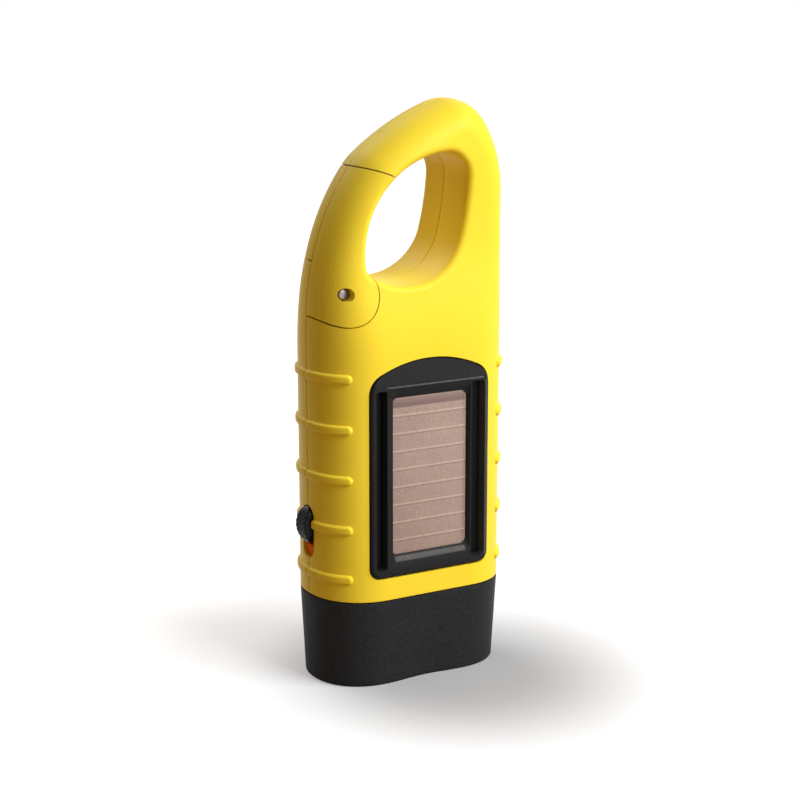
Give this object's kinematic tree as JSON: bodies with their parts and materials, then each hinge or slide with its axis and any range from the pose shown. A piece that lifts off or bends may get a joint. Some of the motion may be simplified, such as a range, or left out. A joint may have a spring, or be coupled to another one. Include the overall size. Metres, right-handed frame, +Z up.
{
  "type": "hand crank flashlight",
  "caption": "Yellow hand crank flashlight with a carabiner loop and sprung gate, a solar panel, a side slide switch and a black lamp head it stands on.",
  "frame": {"origin": "centre of the bounding box at the level of the head's rim, which it stands on", "axes": "+Z up along the body, -Y out of the solar panel, +X away from the gate and the switch"},
  "size_m": [0.052, 0.0382, 0.1348],
  "materials": {
    "yellow_plastic": "satin gloss moulded",
    "black_plastic": "fine texture",
    "grey_plastic": "moulded",
    "white_plastic": "moulded",
    "red_plastic": "moulded",
    "solar_film": "clear coat over the cell",
    "clear_plastic": "clear polished",
    "bright_film": "bright metallised",
    "steel": "plain",
    "brass": "turned",
    "copper": "enamelled wire",
    "green_board": "solder mask"
  },
  "bodies": {
    "casing": {"axle_1": "steel", "axle_2": "steel", "back_shell": "yellow_plastic", "battery_cell_1": "steel", "battery_cell_2": "steel", "battery_cell_3": "steel", "battery_holder": "black_plastic", "case_screw_1": "steel", "case_screw_2": "steel", "case_screw_3": "steel", "case_screw_4": "steel", "crank_bush": "brass", "front_shell": "yellow_plastic", "gate_pin": "steel", "gate_spring": "steel", "gear_plate": "steel", "generator_can": "steel", "generator_coil": "copper", "head_shell": "black_plastic", "led_1": "clear_plastic", "led_2": "clear_plastic", "led_3": "clear_plastic", "led_board": "green_board", "lens": "clear_plastic", "main_board": "green_board", "plate_screw_1": "steel", "plate_screw_2": "steel", "plate_screw_3": "steel", "reflector": "bright_film", "solar_bezel": "black_plastic", "solar_cell": "solar_film", "switch_body": "grey_plastic", "switch_mark": "red_plastic"},
    "gate": {"gate_front": "yellow_plastic", "gate_back": "yellow_plastic"},
    "slider": {"switch_slider": "black_plastic"},
    "crank": {"crank_arm": "black_plastic", "crank_shaft": "steel", "crank_screw": "steel", "drive_gear": "white_plastic", "knob_pin": "steel"},
    "knob_mount": {"knob_knuckle": "steel", "knob_spindle": "steel"},
    "knob": {"crank_knob": "black_plastic"},
    "gear_1": {"compound_gear_1": "white_plastic"},
    "gear_2": {"compound_gear_2": "white_plastic"},
    "rotor": {"rotor_magnet": "steel", "rotor_pinion": "brass"}
  },
  "joints": [
    {"name": "crank_spin", "type": "hinge", "parent": "casing", "child": "crank", "pos_m": [0.0007, 0.013, 0.062], "axis": [0, 1, 0], "continuous": true},
    {"name": "gear_1_spin", "type": "hinge", "parent": "casing", "child": "gear_1", "pos_m": [-0.00681, 0.0035, 0.04619], "axis": [0, 1, 0], "continuous": true},
    {"name": "gear_2_spin", "type": "hinge", "parent": "casing", "child": "gear_2", "pos_m": [0.00571, 0.0005, 0.03849], "axis": [0, 1, 0], "continuous": true},
    {"name": "rotor_spin", "type": "hinge", "parent": "casing", "child": "rotor", "pos_m": [0.00571, -0.006, 0.05179], "axis": [0, 1, 0], "continuous": true},
    {"name": "knob_fold", "type": "hinge", "parent": "crank", "child": "knob_mount", "pos_m": [0.0007, 0.01465, 0.029], "axis": [-1, 0, 0], "range_deg": [0, 90]},
    {"name": "knob_spin", "type": "hinge", "parent": "knob_mount", "child": "knob", "pos_m": [0.0007, 0.01465, 0.0409], "axis": [0, 0, 1], "continuous": true},
    {"name": "gate_hinge", "type": "hinge", "parent": "casing", "child": "gate", "pos_m": [-0.0192, -0.0045, 0.0926], "axis": [0, 1, 0], "range_deg": [0, 18], "stiffness_Nm_per_rad": 0.06, "springref_deg": -11.46},
    {"name": "switch_slide", "type": "slide", "parent": "casing", "child": "slider", "axis": [0, 0, -1], "range_m": [0, 0.0033]}
  ],
  "couplings": [
    {"joint": "gear_1_spin", "follows": "crank_spin", "ratio": -4},
    {"joint": "gear_2_spin", "follows": "crank_spin", "ratio": 12.8},
    {"joint": "rotor_spin", "follows": "crank_spin", "ratio": -35.84}
  ]
}
